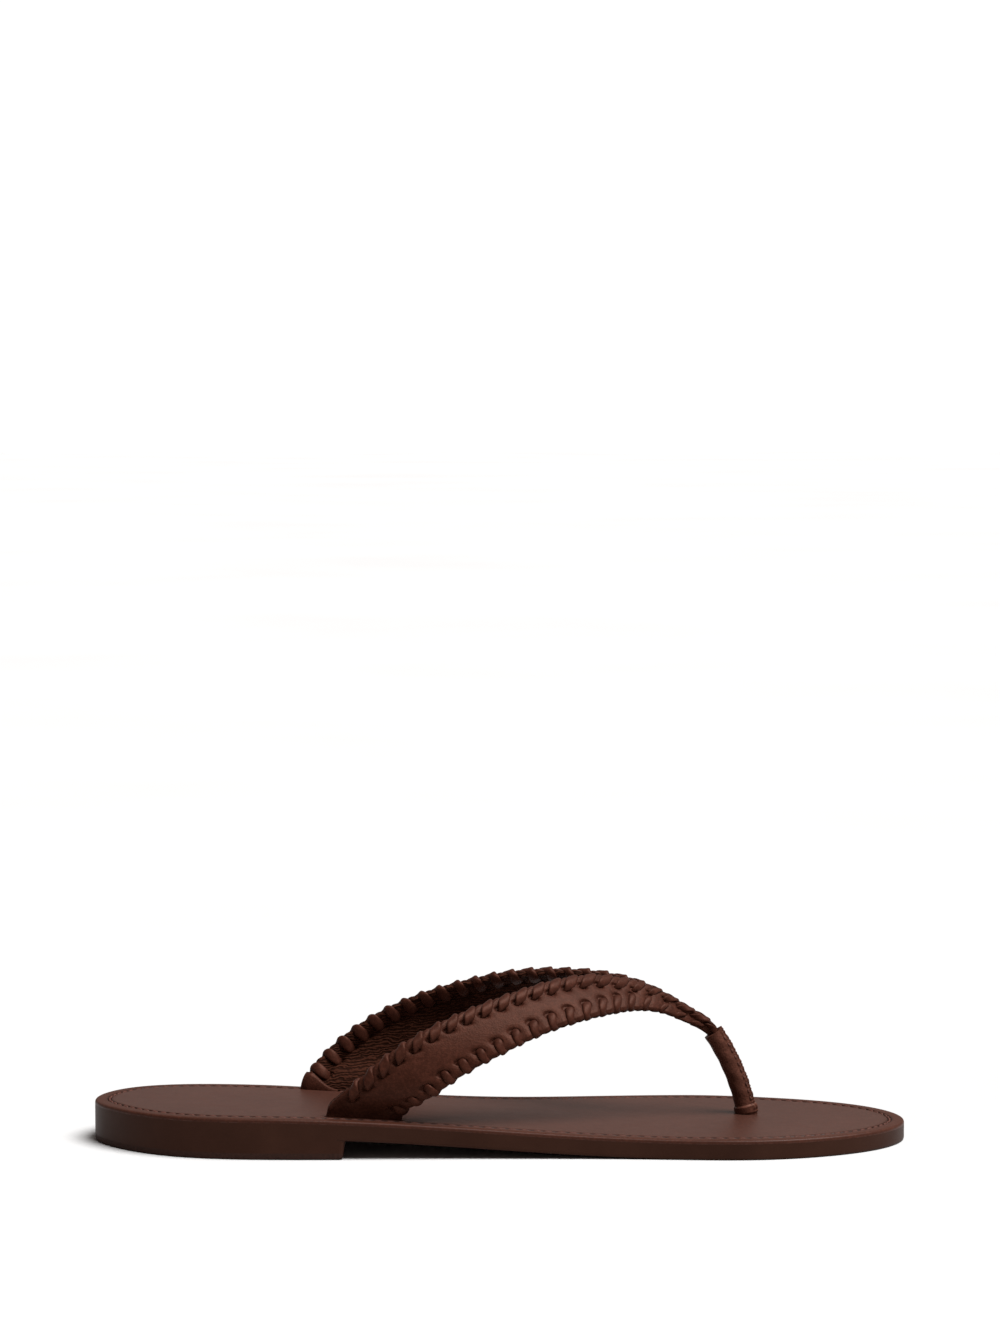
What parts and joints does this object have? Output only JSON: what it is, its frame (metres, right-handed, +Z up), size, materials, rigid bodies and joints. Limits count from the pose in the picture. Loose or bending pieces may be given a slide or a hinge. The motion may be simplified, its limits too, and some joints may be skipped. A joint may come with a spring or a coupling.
{
  "type": "flip flop",
  "caption": "Flat leather thong sandal with a V of whipstitched straps, a rolled toe post and a low stacked heel.",
  "frame": {"origin": "centre of the bounding box seen from above, on the floor that the heel and the forefoot stand on", "axes": "+X from heel to toe, +Y towards the big-toe side, +Z up"},
  "size_m": [0.2527, 0.082, 0.053],
  "materials": {
    "footbed_leather": "satin",
    "insole_leather": "matte",
    "strap_leather": "satin",
    "strap_lining": "matte",
    "strap_tape": "matte",
    "lace_leather": "satin",
    "thread": "matte",
    "sole_edge": "satin",
    "sole_rubber": "matte",
    "steel": "satin"
  },
  "bodies": {
    "root": {"footbed_cover": "footbed_leather", "footbed_seam_thread": "thread", "insole_board": "insole_leather", "midsole": "insole_leather", "outsole": "sole_edge", "heel_block": "sole_edge", "heel_top_lift": "sole_rubber", "heel_nails": "steel", "shank": "steel", "strap_lateral_outer": "strap_leather", "strap_lateral_tape": "strap_tape", "strap_lateral_lining": "strap_lining", "strap_medial_outer": "strap_leather", "strap_medial_tape": "strap_tape", "strap_medial_lining": "strap_lining", "lace_lateral_rear": "lace_leather", "lace_lateral_front": "lace_leather", "lace_medial_rear": "lace_leather", "lace_medial_front": "lace_leather", "toe_post_sleeve": "strap_leather", "toe_post_core": "strap_tape", "toe_post_thread": "thread", "toe_post_anchor": "insole_leather"}
  },
  "joints": []
}
